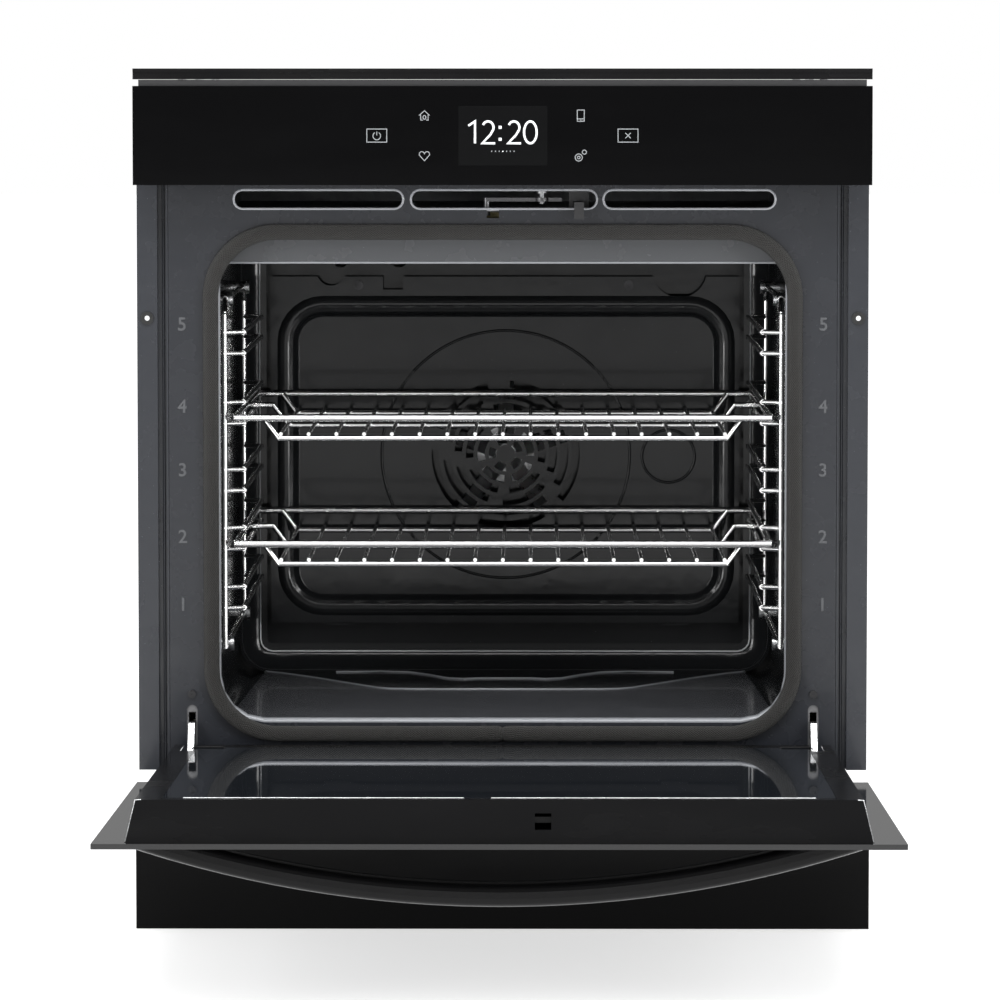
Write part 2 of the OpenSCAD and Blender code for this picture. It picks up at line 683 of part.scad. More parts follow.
// Arm from the receiver to the pin: it stays still while the door turns
module hinge_arm() color(steel) difference() {
  yz_plate(hinge_x - 2.5, 5) {
    polygon([[pivot_y - 2.4, pivot_z + 2.6], [-8, 164], [52, 164], [52, 138], [26, 138], [26, 149.2],
             [4, 149.2], [-8, 144], [pivot_y + 2.8, pivot_z - 2.2]]);
    translate([pivot_y, pivot_z]) circle(r = 3.6);
  }
  translate([hinge_x, pivot_y, pivot_z]) rotate([0, 90, 0]) cylinder(h = 20, r = 2.05, center = true);
  translate([hinge_x, 34, 146]) rotate([0, 90, 0]) cylinder(h = 20, r = 3.1, center = true);
}

module hinge_arm_left() scale([-1, 1, 1]) hinge_arm();
module hinge_arm_right() hinge_arm();

// ---- door, drawn closed ----

// Channels in the door that carry the hinge pins
module hinge_bodies() color(zinc) open_door() both() difference() {
  box([hinge_x - 6, glass_back + 0.3, pivot_z - 7], [hinge_x + 6, -15, pivot_z + 170]);
  box([hinge_x - 4.8, glass_back - 1, pivot_z - 9], [hinge_x + 4.8, -10, pivot_z + 46]);
  box([hinge_x - 4.8, glass_back + 1.5, pivot_z + 40], [hinge_x + 4.8, -10, pivot_z + 171]);
  translate([hinge_x, pivot_y, pivot_z]) rotate([0, 90, 0]) cylinder(h = 20, r = 2, center = true);
}

module hinge_pins() color(steel) open_door() both()
  translate([hinge_x - 6.6, pivot_y, pivot_z]) rotate([0, 90, 0]) cylinder(h = 13.2, r = 2);

// Balance springs that lie in the hinge channels
module hinge_springs() color(steel) open_door() both()
  translate([hinge_x, pivot_y + 11, pivot_z + 60]) rotate_extrude() for (i = [0:13])
    translate([2.7, i * 3.1]) circle(r = 1.7);

module door_outer_glass() color(black) open_door()
  box([-hw, glass_y, door_low], [hw, glass_back, door_high]);

module door_inner_glass() color("#2e3238") open_door()
  box([-247, door_in - glass_t, 141.2], [247, door_in, 565.8]);

module door_mid_glass() color("#6e7880") open_door()
  box([-244, -27, 141.5], [244, -23, 565.5]);

// Side profile of the door frame, drawn in x and y
module side_profile() {
  polygon([[273.7, glass_back], [266.5, door_in], [247.2, door_in], [247.2, door_in - 1.4],
           [264.6, door_in - 1.4], [271.3, glass_back + 1.6], [262, glass_back + 1.6], [262, glass_back]]);
}

module door_side() color(black) open_door() difference() {
  xy_plate(pivot_z - 8, 581 - pivot_z + 8) side_profile();
  box([hinge_x - 5, -20, pivot_z - 10], [hinge_x + 5, 0, pivot_z + 50]);
}

module door_side_left() scale([-1, 1, 1]) door_side();
module door_side_right() door_side();

// Space in the closed door for the tip of the latch hook
module latch_pocket() {
  box([latch_x - 6, latch_y - latch_reach - 6, 570], [latch_x + 6, latch_y - latch_reach + 6, 620]);
}

// Cap over the top end of the door, with the pocket that the latch hook drops into
module door_cap() color(black) open_door() difference() {
  yz_plate(-273.6, 547.2) polygon([[glass_back, 581.2], [door_in, 581.2], [glass_back, 587]]);
  both() translate([0, 0, 500]) linear_extrude(200)
    polygon([[273.7, glass_back], [266.5, door_in], [280, door_in + 1], [280, glass_back]]);
  latch_pocket();
}

// Top and bottom rails, which join the sides and hold the panes
module door_rails() color(black) open_door() {
  difference() {
    box([-247, glass_back, 566], [247, door_in, 581]);
    box([-245, -34, 564], [245, -27.2, 579]);
    box([-245, -22.8, 564], [245, -13.5, 579]);
    latch_pocket();
    box([-26, -13, 564], [-6, 0, 570]);
  }
  difference() {
    box([-247, glass_back, pivot_z - 8], [247, door_in, 141]);
    box([-245, glass_back + 2, pivot_z - 10], [245, door_in - 1.4, 139]);
    box([-245, glass_back + 1, pivot_z - 10], [245, door_in - 1.6, 139.4]);
  }
}

// A closed outline between an oval and a rectangle, half a wide and half b high
function soft_oval(a, b, steps) = [for (i = [0:steps - 1]) let (t = 360 * (i + 0.5) / steps)
  [a * sign(cos(t)) * pow(abs(cos(t)), 0.6), b * sign(sin(t)) * pow(abs(sin(t)), 0.6)]];

// Bowed handle with a flattened oval section
module door_handle() color(black) open_door() intersection() {
  translate([0, glass_y - handle_out + handle_r, door_high - 48]) rotate([0, 0, -112])
    rotate_extrude(angle = 44, $fn = 720)
      translate([handle_r - handle_t / 2, 0]) polygon(soft_oval(handle_t / 2, handle_w / 2, 28));
  box([-300, glass_y - 60, door_high - 80], [300, glass_y, door_high]);
}

chassis_base();
side_panel_left();
side_panel_right();
rear_panel();
top_cover();
front_frame();
side_trim_left();
side_trim_right();
mount_grommets();
frame_screws();
top_trim();
lower_trim();
control_glass();
control_housing();
display_module();
control_board();
power_board();
cavity_liner();
insulation();
door_gasket();
fan_cover();
fan_cover_screws();
convection_fan();
ring_element();
fan_motor();
broil_element();
bake_element();
lamp_housing();
lamp_bulb();
lamp_lens();
temperature_probe();
shelf_support_left();
shelf_support_right();
support_fixings();
rack_upper();
rack_lower();
air_duct();
blower_housing();
blower_rotor();
blower_motor();
junction_box();
conduit_gland();
latch_base();
latch_hook();
door_switch();
switch_plunger();
hinge_receivers();
hinge_arm_left();
hinge_arm_right();
hinge_bodies();
hinge_pins();
hinge_springs();
door_outer_glass();
door_mid_glass();
door_inner_glass();
door_side_left();
door_side_right();
door_rails();
door_handle();
door_cap();
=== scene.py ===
import json
import math

import bpy
from mathutils import Matrix, Vector


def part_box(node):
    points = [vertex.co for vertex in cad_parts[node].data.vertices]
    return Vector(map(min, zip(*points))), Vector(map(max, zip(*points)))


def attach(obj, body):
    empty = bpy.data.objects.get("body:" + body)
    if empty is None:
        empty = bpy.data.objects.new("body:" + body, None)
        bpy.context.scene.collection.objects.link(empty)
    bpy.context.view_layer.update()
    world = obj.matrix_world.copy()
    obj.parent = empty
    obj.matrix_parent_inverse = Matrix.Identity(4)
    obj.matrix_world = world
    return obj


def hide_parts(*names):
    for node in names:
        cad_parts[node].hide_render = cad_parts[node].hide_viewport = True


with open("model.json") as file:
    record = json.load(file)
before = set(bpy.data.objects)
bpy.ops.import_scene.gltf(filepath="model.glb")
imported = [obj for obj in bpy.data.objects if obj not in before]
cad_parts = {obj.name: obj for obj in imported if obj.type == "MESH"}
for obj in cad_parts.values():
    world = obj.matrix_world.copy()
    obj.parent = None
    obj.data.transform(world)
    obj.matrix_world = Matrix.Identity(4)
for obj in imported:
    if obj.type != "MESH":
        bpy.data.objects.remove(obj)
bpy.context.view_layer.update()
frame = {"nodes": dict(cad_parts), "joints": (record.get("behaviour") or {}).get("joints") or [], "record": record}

MM = 0.001
nodes = frame["nodes"]
joints = {j["name"]: j for j in frame["joints"]}


# ---------------------------------------------------------------- places taken from the frame

def low(node):
    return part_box(node)[0]


def high(node):
    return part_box(node)[1]


# Takes a place on the closed door to where the open door holds it.
PIVOT = Vector(joints["door_hinge"]["pos_m"])
OPEN = math.radians(joints["door_hinge"]["range_deg"][1])
DOOR = Matrix.Translation(PIVOT) @ Matrix.Rotation(OPEN, 4, "X") @ Matrix.Translation(-PIVOT)

GLASS_Y = low("control_glass").y
PANEL_MIDDLE = (low("control_glass").z + high("control_glass").z) / 2
FRAME_Y = low("front_frame").y


# ---------------------------------------------------------------- material helpers

# Places of the colour sockets on Blender's Mix node.
MIX_A = 6
MIX_B = 7
MIX_RESULT = 2


class Shader:
    """A Principled material with short calls for the procedural parts that the finishes share."""

    def __init__(self, name, color, metallic=0.0, rough=0.4):
        self.material = bpy.data.materials.new(name)
        self.material.use_nodes = True
        self.tree = self.material.node_tree
        self.bsdf = self.tree.nodes["Principled BSDF"]
        self.set("Base Color", (*color, 1.0))
        self.set("Metallic", metallic)
        self.set("Roughness", rough)
        self.coords = self.tree.nodes.new("ShaderNodeTexCoord").outputs["Object"]
        self.material.diffuse_color = (*color, 1.0)

    def set(self, socket, value):
        self.bsdf.inputs[socket].default_value = value
        return self

    def link(self, a, b):
        self.tree.links.new(a, b)

    def node(self, kind, **values):
        made = self.tree.nodes.new(kind)
        for key, value in values.items():
            if key in made.inputs:
                made.inputs[key].default_value = value
            else:
                setattr(made, key, value)
        return made

    def stretched(self, scale):
        """Object coordinates scaled along each axis."""
        mapping = self.node("ShaderNodeMapping")
        mapping.inputs["Scale"].default_value = scale
        self.link(self.coords, mapping.inputs["Vector"])
        return mapping.outputs["Vector"]

    def noise(self, scale, detail=3.0, vector=None):
        made = self.node("ShaderNodeTexNoise", Scale=scale, Detail=detail, Roughness=0.55)
        self.link(vector or self.coords, made.inputs["Vector"])
        return made.outputs["Fac"]

    def cells(self, scale):
        made = self.node("ShaderNodeTexVoronoi", Scale=scale, feature="F1")
        self.link(self.coords, made.inputs["Vector"])
        return made

    def remap(self, source, low_in, high_in, low_out, high_out):
        made = self.node("ShaderNodeMapRange")
        made.clamp = True
        ends = {"From Min": low_in, "From Max": high_in, "To Min": low_out, "To Max": high_out}
        for key, value in ends.items():
            made.inputs[key].default_value = value
        self.link(source, made.inputs["Value"])
        return made.outputs["Result"]

    def math(self, operation, a, b):
        made = self.node("ShaderNodeMath", operation=operation)
        for i, value in enumerate((a, b)):
            if isinstance(value, (int, float)):
                made.inputs[i].default_value = value
            else:
                self.link(value, made.inputs[i])
        return made.outputs["Value"]

    def mix(self, factor, color_a, color_b):
        """color_a where factor is 0 and color_b where it is 1; either may be a colour or a socket."""
        made = self.node("ShaderNodeMix", data_type="RGBA")
        self.link(factor, made.inputs["Factor"])
        for socket, value in ((made.inputs[MIX_A], color_a), (made.inputs[MIX_B], color_b)):
            if isinstance(value, tuple):
                socket.default_value = (*value, 1.0)
            else:
                self.link(value, socket)
        return made.outputs[MIX_RESULT]

    def rough_from(self, source, low_in, high_in, low_out, high_out):
        self.link(self.remap(source, low_in, high_in, low_out, high_out), self.bsdf.inputs["Roughness"])

    def bump(self, height, strength, distance):
        made = self.node("ShaderNodeBump", Strength=strength, Distance=distance)
        self.link(height, made.inputs["Height"])
        self.link(made.outputs["Normal"], self.bsdf.inputs["Normal"])


def scaled(color, factor):
    """The colour made darker or lighter."""
    return tuple(min(1.0, c * factor) for c in color)


# ---------------------------------------------------------------- finishes

def enamel(name, base, speck, speck_share, rough, gloss=0.4):
    """Vitreous enamel: a deep gloss, slight waviness and fine pale specks."""
    s = Shader(name, base, rough=rough)
    s.set("Coat Weight", 0.12).set("Coat Roughness", 0.05).set("Specular IOR Level", gloss)
    cells = s.cells(520.0)
    near = s.remap(cells.outputs["Distance"], 0.04, 0.16, 0.55, 0.0)
    split = s.node("ShaderNodeSeparateColor")
    s.link(cells.outputs["Color"], split.inputs["Color"])
    chosen = s.remap(split.outputs["Red"], 1.0 - speck_share, 1.0 - speck_share * 0.6, 0.0, 1.0)
    tone = s.mix(s.noise(6.0), scaled(base, 0.95), scaled(base, 1.05))
    s.link(s.mix(s.math("MULTIPLY", near, chosen), tone, speck), s.bsdf.inputs["Base Color"])
    s.rough_from(s.noise(40.0), 0.3, 0.7, rough * 0.8, rough * 1.25)
    s.bump(s.noise(85.0, detail=1.0), 0.05, 0.002)
    return s.material


def galvanised(name, base, rough):
    """Zinc-coated sheet with its spangle, faint rolling lines and a few dull patches."""
    s = Shader(name, base, metallic=1.0, rough=rough)
    cells = s.cells(150.0)
    split = s.node("ShaderNodeSeparateColor")
    s.link(cells.outputs["Color"], split.inputs["Color"])
    lines = s.noise(1.0, detail=2.0, vector=s.stretched((900.0, 900.0, 8.0)))
    s.link(s.mix(split.outputs["Green"], scaled(base, 0.88), scaled(base, 1.08)), s.bsdf.inputs["Base Color"])
    blend = s.math("ADD", s.math("MULTIPLY", split.outputs["Red"], 0.6), s.math("MULTIPLY", lines, 0.4))
    s.rough_from(blend, 0.1, 0.9, rough * 0.75, rough * 1.3)
    s.bump(lines, 0.06, 0.0005)
    return s.material


def plated(name, base, rough, drawn=0.0):
    """Bright plated wire or sheet with small changes in its gloss."""
    s = Shader(name, base, metallic=1.0, rough=rough)
    s.rough_from(s.noise(140.0), 0.3, 0.75, rough * 0.6, rough * 1.7)
    s.link(s.mix(s.noise(25.0), scaled(base, 0.90), base), s.bsdf.inputs["Base Color"])
    if drawn:
        s.bump(s.noise(1.0, vector=s.stretched((2500.0, 120.0, 2500.0))), drawn, 0.0003)
    return s.material


def black_gloss(name, base, rough, level, wave=0.02):
    """Smooth black glass or gloss paint, with faint wipe marks in its gloss."""
    s = Shader(name, base, rough=rough)
    s.set("Specular IOR Level", level)
    wiped = s.noise(1.0, detail=4.0, vector=s.stretched((9.0, 9.0, 30.0)))
    s.rough_from(wiped, 0.35, 0.75, rough * 0.7, rough * 1.8)
    s.bump(s.noise(20.0, detail=1.0), wave, 0.001)
    return s.material


def moulded(name, base, rough):
    """Moulded plastic with a fine spark-eroded grain."""
    s = Shader(name, base, rough=rough)
    s.link(s.mix(s.noise(60.0), scaled(base, 0.85), scaled(base, 1.2)), s.bsdf.inputs["Base Color"])
    s.rough_from(s.noise(300.0), 0.3, 0.7, rough * 0.85, rough * 1.15)
    s.bump(s.noise(1800.0, detail=2.0), 0.25, 0.0003)
    return s.material


def satin_paint(name, base, rough):
    """Powder coat: even colour over a fine orange peel."""
    s = Shader(name, base, rough=rough)
    s.set("Specular IOR Level", 0.14)
    s.rough_from(s.noise(120.0), 0.3, 0.7, rough * 0.85, rough * 1.2)
    s.bump(s.noise(900.0, detail=1.0), 0.12, 0.0004)
    return s.material


def sheathed(name, base):
    """Heating element tube: oxidised alloy with heat colours."""
    s = Shader(name, base, metallic=0.9, rough=0.45)
    s.link(s.mix(s.noise(18.0), base, (0.30, 0.23, 0.19)), s.bsdf.inputs["Base Color"])
    s.rough_from(s.noise(220.0), 0.3, 0.7, 0.35, 0.6)
    s.bump(s.noise(700.0), 0.15, 0.0004)
    return s.material


def clear_glass(name, tint, clearness):
    """Clear pane, lightly tinted."""
    s = Shader(name, tint, rough=0.02)
    s.set("Transmission Weight", clearness).set("IOR", 1.5)
    s.rough_from(s.noise(12.0), 0.4, 0.8, 0.01, 0.05)
    return s.material


def wool(name, base):
    """Mineral wool: matted fibres with darker binder patches."""
    s = Shader(name, base, rough=0.95)
    fibre = s.noise(1.0, detail=6.0, vector=s.stretched((260.0, 900.0, 900.0)))
    s.link(s.mix(fibre, scaled(base, 0.55), scaled(base, 1.25)), s.bsdf.inputs["Base Color"])
    s.set("Sheen Weight", 0.3)
    s.bump(fibre, 0.9, 0.002)
    return s.material


def laminate(name, base):
    """Circuit board: solder mask over a hint of copper tracks."""
    s = Shader(name, base, rough=0.3)
    tracks = s.node("ShaderNodeTexBrick", Scale=240.0)
    tracks.inputs["Mortar Size"].default_value = 0.04
    s.link(s.coords, tracks.inputs["Vector"])
    s.link(s.mix(tracks.outputs["Fac"], base, tuple(min(1.0, c * 1.8 + 0.01) for c in base)),
           s.bsdf.inputs["Base Color"])
    s.bump(s.noise(300.0), 0.1, 0.0003)
    return s.material


BRAID_ANGLE = math.radians(52)


def woven(name, dark, light):
    """Braided glass-fibre sleeve: crossing strands laid along the seal by its UV map, in millimetres. Its colour
    is painted shade in the braid's low places and painted highlight on its crests, with random tone along the
    strands.
    """
    s = Shader(name, dark, rough=0.85)
    s.set("Sheen Weight", 0.08).set("Sheen Roughness", 0.4).set("Specular IOR Level", 0.2)
    uv = s.tree.nodes.new("ShaderNodeTexCoord").outputs["UV"]
    waves = []
    for turn in (1.0, -1.0):
        mapping = s.node("ShaderNodeMapping")
        mapping.inputs["Rotation"].default_value = (0.0, 0.0, turn * BRAID_ANGLE)
        s.link(uv, mapping.inputs["Vector"])
        wave = s.node("ShaderNodeTexWave", Scale=0.22, Distortion=1.2, Detail=1.0)
        s.link(mapping.outputs["Vector"], wave.inputs["Vector"])
        waves.append(wave.outputs["Fac"])
    braid = s.math("MAXIMUM", *waves)
    strand = s.node("ShaderNodeTexNoise", Scale=1.6, Detail=4.0)
    s.link(uv, strand.inputs["Vector"])
    height = s.math("ADD", braid, s.math("MULTIPLY", strand.outputs["Fac"], 0.5))
    # Colour by braid height: painted shade in the low places, painted highlight on the crests.
    s.link(s.mix(s.remap(height, 0.4, 1.3, 0.0, 1.0), dark, light), s.bsdf.inputs["Base Color"])
    s.bump(height, 1.0, 0.0010)
    return s.material


def glowing(name, color, strength):
    """Printed or lit marks behind glass."""
    s = Shader(name, color, rough=0.6)
    s.set("Emission Color", (*color, 1.0)).set("Emission Strength", strength)
    s.link(s.mix(s.noise(900.0), scaled(color, 0.92), color), s.bsdf.inputs["Base Color"])
    return s.material


FINISH = {
    "casing_zinc": galvanised("zinc sheet", (0.33, 0.335, 0.345), 0.42),
    "frame_enamel": enamel("frame enamel", (0.0150, 0.0165, 0.0205), (0.30, 0.33, 0.38), 0.07, 0.26),
    "cavity_enamel": enamel("cavity enamel", (0.0150, 0.0160, 0.0172), (0.28, 0.29, 0.31), 0.02, 0.12,
                            gloss=0.25),
    "black_trim": black_gloss("black paint", (0.0045, 0.0045, 0.0048), 0.20, 0.16),
    "black_glass": black_gloss("black glass", (0.0022, 0.0022, 0.0024), 0.06, 0.07),
    "door_pane": black_gloss("mirror pane", (0.016, 0.019, 0.024), 0.025, 1.0, wave=0.008),
    "clear_pane": clear_glass("clear pane", (0.80, 0.85, 0.86), 0.95),
    "handle_black": satin_paint("handle paint", (0.0022, 0.0022, 0.0024), 0.20),
    "chrome_wire": plated("chrome plate", (0.90, 0.90, 0.90), 0.14),
    "bright_steel": plated("bright zinc", (0.72, 0.73, 0.74), 0.25, drawn=0.2),
    "fan_steel": plated("aluminised steel", (0.86, 0.86, 0.87), 0.38, drawn=0.3),
    "motor_steel": satin_paint("motor steel", (0.30, 0.31, 0.32), 0.45),
    "element_alloy": sheathed("element sheath", (0.20, 0.19, 0.18)),
    "seal_weave": woven("seal braid", (0.003, 0.003, 0.0028), (0.050, 0.049, 0.047)),
    "mineral_wool": wool("mineral wool", (0.42, 0.36, 0.18)),
    "black_plastic": moulded("black plastic", (0.012, 0.012, 0.013), 0.5),
    "circuit_board": laminate("board laminate", (0.02, 0.13, 0.06)),
}

# Finishes of the pieces that are added here. The edge, glint and edge-glint metal finishes are painted highlights:
# much lighter than the sheet or glass beside them, for the light that narrow rims and ridges catch. The two
# lighter cavity enamels are painted light on the drip lip's face, the raised numbers and the front of the cavity
# floor.
WHITE = glowing("lit marks", (0.62, 0.64, 0.65), 0.55)
DIM = glowing("printed marks", (0.24, 0.25, 0.26), 0.14)
# Painted highlight: a light enamel for the bright lines along rolled edges, the lip's rim and the floor ridges.
EDGE_HIGHLIGHT = enamel("edge highlight enamel", (0.30, 0.31, 0.33), (0.60, 0.62, 0.64), 0.04, 0.20)
# Painted light: a lighter copy of the enamel for the drip lip's face and the raised numbers, which catch the
# light.
PAINTED_LIGHT_ENAMEL = enamel("enamel with painted light", (0.070, 0.073, 0.078), (0.40, 0.42, 0.45), 0.05, 0.24)
# Painted highlight: near-white enamel for the line along the rear wall's rounded corner.
GLINT = enamel("glint enamel", (0.80, 0.81, 0.83), (0.90, 0.91, 0.92), 0.02, 0.22)
# Painted light: a lighter copy of the cavity enamel for the front of the floor, which faces the lamps.
PAINTED_LIGHT_FLOOR_ENAMEL = enamel("floor enamel with painted light", (0.072, 0.075, 0.083), (0.35, 0.37, 0.40), 0.05, 0.20)
# Painted highlight: bright metal for the lines along the inner pane's edge and the door cap's edges.
EDGE_GLINT_METAL = plated("edge glint metal", (0.62, 0.63, 0.64), 0.30)
SCREEN = black_gloss("screen film", (0.0040, 0.0041, 0.0043), 0.10, 0.07)

# CAD nodes whose look differs from the rest of their slot.
SPECIAL = {
    "door_outer_glass": black_gloss("door glass", (0.0055, 0.0055, 0.0058), 0.05, 0.5),
    "side_trim_left": enamel("side trim enamel", (0.021, 0.023, 0.028), (0.34, 0.37, 0.42), 0.07, 0.24),
    "side_trim_right": enamel("side trim enamel right", (0.021, 0.023, 0.028), (0.34, 0.37, 0.42), 0.07,
                              0.24),
    "lower_trim": black_gloss("lower trim paint", (0.0018, 0.0018, 0.0019), 0.14, 0.07),
    "fan_cover_screws": plated("blackened screws", (0.06, 0.06, 0.062), 0.35),
    "frame_screws": plated("black frame screws", (0.07, 0.07, 0.072), 0.30),
    "hinge_receivers": plated("dull receivers", (0.22, 0.22, 0.225), 0.45),
    "latch_hook": plated("blued steel", (0.14, 0.14, 0.145), 0.35),
    "mount_grommets": moulded("grommet rubber", (0.006, 0.006, 0.006), 0.4),
}

# Widths in millimetres of the rounded edges that a modifier gives CAD nodes, so that they catch light.
EDGED = {"control_glass": 0.5, "door_outer_glass": 0.7, "door_inner_glass": 0.5, "door_mid_glass": 0.4,
         "top_trim": 0.5, "lower_trim": 0.4, "door_cap": 0.6, "door_side_left": 0.25, "door_side_right": 0.25,
         "side_trim_left": 0.25, "side_trim_right": 0.25, "front_frame": 0.3, "fan_cover": 0.3,
         "side_panel_left": 0.25, "side_panel_right": 0.25, "rear_panel": 0.25, "top_cover": 0.25,
         "junction_box": 0.3, "hinge_bodies": 0.2, "control_housing": 0.2}
EDGE_STEPS = 2
EDGE_ANGLE = math.radians(50)


def finish_cad():
    """Gives every CAD node its finish, and some of them rounded edges."""
    for part in frame["record"]["subparts"]:
        mesh = nodes[part["node"]].data
        mesh.materials.clear()
        mesh.materials.append(FINISH[part["material_slot"]])
    for name, finish in SPECIAL.items():
        nodes[name].data.materials[0] = finish
    for name, width in EDGED.items():
        bevel = nodes[name].modifiers.new("edges", "BEVEL")
        bevel.width = width * MM
        bevel.segments = EDGE_STEPS
        bevel.limit_method = "ANGLE"
        bevel.angle_limit = EDGE_ANGLE


finish_cad()


# ---------------------------------------------------------------- building helpers

SHARP_ANGLE = math.radians(40)
MITRE_LIMIT = 0.5


def piece(name, verts, faces, slot, body, smooth=True, uvs=None, material=None, matrix=None):
    """A mesh piece that rides on a body. uvs holds one (u, v) pair for each vertex."""
    mesh = bpy.data.meshes.new(name)
    mesh.from_pydata([tuple(v) for v in verts], [], faces)
    mesh.update()
    if uvs:
        layer = mesh.uv_layers.new(name="UVMap")
        for loop in mesh.loops:
            layer.data[loop.index].uv = uvs[loop.vertex_index]
    if matrix is not None:
        mesh.transform(matrix)
    mesh.materials.append(material or FINISH[slot])
    made = bpy.data.objects.new(name, mesh)
    bpy.context.scene.collection.objects.link(made)
    if smooth:
        mesh.shade_smooth()
        mesh.set_sharp_from_angle(angle=SHARP_ANGLE)
    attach(made, body)
    return made


def round_path(x0, x1, z0, z1, r, step):
    """Points (x, z, outward x, outward z) round a rounded rectangle, from the middle of its bottom side."""
    middle = (x0 + x1) / 2
    corners = [(x1 - r, z0 + r, -90), (x1 - r, z1 - r, 0), (x0 + r, z1 - r, 90), (x0 + r, z0 + r, 180)]
    turn = max(4, int(math.pi / 2 * r / step))
    points = []

    def straight(ax, az, bx, bz, nx, nz):
        count = max(1, int(math.hypot(bx - ax, bz - az) / step))
        for i in range(count):
            t = i / count
            points.append((ax + (bx - ax) * t, az + (bz - az) * t, nx, nz))

    straight(middle, z0, x1 - r, z0, 0, -1)
    for k, (cx, cz, start) in enumerate(corners):
        for i in range(turn):
            a = math.radians(start + 90 * i / turn)
            points.append((cx + r * math.cos(a), cz + r * math.sin(a), math.cos(a), math.sin(a)))
        a = math.radians(start + 90)
        ax, az = cx + r * math.cos(a), cz + r * math.sin(a)
        if k < 3:
            nx, nz, following = corners[k + 1]
            b = math.radians(following)
            straight(ax, az, nx + r * math.cos(b), nz + r * math.sin(b), math.cos(a), math.sin(a))
        else:
            straight(ax, az, middle, z0, 0, -1)
    return points


def sweep(name, path, profile, slot, body, shape=None, closed_profile=True, material=None):
    """Sweeps a profile of (outward, y) pairs round a closed path. shape may change the profile along it."""
    verts, uvs, faces = [], [], []
    length = 0.0
    last = path[-1]
    across = len(profile)
    for x, z, nx, nz in path:
        length += math.hypot(x - last[0], z - last[1])
        last = (x, z)
        section = shape(profile, x, z) if shape else profile
        walked = 0.0
        for k, (out, y) in enumerate(section):
            walked += math.dist(section[k - 1], section[k]) if k else 0.0
            verts.append((x + nx * out, y, z + nz * out))
            uvs.append((length / MM, walked / MM))
    count = len(path)
    for i in range(count):
        j = (i + 1) % count
        for k in range(across if closed_profile else across - 1):
            m = (k + 1) % across
            faces.append((i * across + k, j * across + k, j * across + m, i * across + m))
    return piece(name, verts, faces, slot, body, uvs=uvs, material=material)


def ellipse(out_radius, y_radius, y_middle, count):
    return [(out_radius * math.cos(a), y_middle + y_radius * math.sin(a))
            for a in (2 * math.pi * i / count for i in range(count))]


def tube(name, points, radius, slot, body, material=None, matrix=None, sides=10, flat=1.0, closed=False):
    """A round bar through points, mitred at its bends. flat squeezes it along y."""
    points = [Vector(p) for p in points]
    verts, faces = [], []
    count = len(points)
    for i, p in enumerate(points):
        before = points[i - 1] if i or closed else p
        after = points[(i + 1) % count] if i < count - 1 or closed else p
        into = (p - before).normalized() if before != p else (after - p).normalized()
        out = (after - p).normalized() if after != p else into
        along = (into + out).normalized()
        side = along.cross(Vector((0, 1, 0)))
        side = side.normalized() if side.length > 0.01 else Vector((1, 0, 0))
        up = side.cross(along).normalized()
        widen = 1.0 / max(MITRE_LIMIT, along.dot(into))
        for k in range(sides):
            a = 2 * math.pi * k / sides
            offset = side * math.cos(a) * radius * widen + up * math.sin(a) * radius
            offset.y *= flat
            verts.append(p + offset)
    for i in range(count if closed else count - 1):
        j = (i + 1) % count
        for k in range(sides):
            m = (k + 1) % sides
            faces.append((i * sides + k, i * sides + m, j * sides + m, j * sides + k))
    if not closed:
        faces.append(tuple(range(sides)))
        faces.append(tuple(reversed(range((count - 1) * sides, count * sides))))
    return piece(name, verts, faces, slot, body, material=material, matrix=matrix)


def arc(cx, cz, rx, rz, start, end, count):
    """Points (x, z) along an ellipse, angles in degrees from +x towards +z."""
    return [(cx + rx * math.cos(math.radians(start + (end - start) * i / count)),
             cz + rz * math.sin(math.radians(start + (end - start) * i / count))) for i in range(count + 1)]


# ---------------------------------------------------------------- marks on the control panel

MARK_Y = GLASS_Y - 0.05 * MM
WINDOW_Y = GLASS_Y - 0.02 * MM
STROKE_FLATNESS = 0.12
SAME_PLACE = 0.01


def mark(name, lines, width, material, at=(0.0, 0.0)):
    """Strokes drawn on the panel. Each line is a list of (x, z) in millimetres round the place at."""
    for k, line in enumerate(lines):
        closed = math.dist(line[0], line[-1]) < SAME_PLACE
        points = [((at[0] + x) * MM, MARK_Y, PANEL_MIDDLE + (at[1] + z) * MM)
                  for x, z in (line[:-1] if closed else line)]
        tube(f"{name}_{k + 1}", points, width / 2 * MM, "black_plastic", "oven", material=material, sides=8,
             flat=STROKE_FLATNESS, closed=closed)


def rectangle(w, h):
    return [(-w / 2, -h / 2), (w / 2, -h / 2), (w / 2, h / 2), (-w / 2, h / 2), (-w / 2, -h / 2)]


def digit_strokes(d, w, h):
    """A light, round-shouldered digit, w wide and h high, with its foot at z = 0."""
    if d == "1":
        return [[(0.12 * w, 0.80 * h), (0.62 * w, h), (0.62 * w, 0)]]
    if d == "2":
        bowl = arc(0.46 * w, 0.72 * h, 0.42 * w, 0.28 * h, 155, -20, 14)
        return [bowl + [(0.62 * w, 0.38 * h), (0.02 * w, 0.0), (w, 0.0)]]
    return [arc(0.5 * w, 0.5 * h, 0.48 * w, 0.5 * h, 0, 360, 28)]


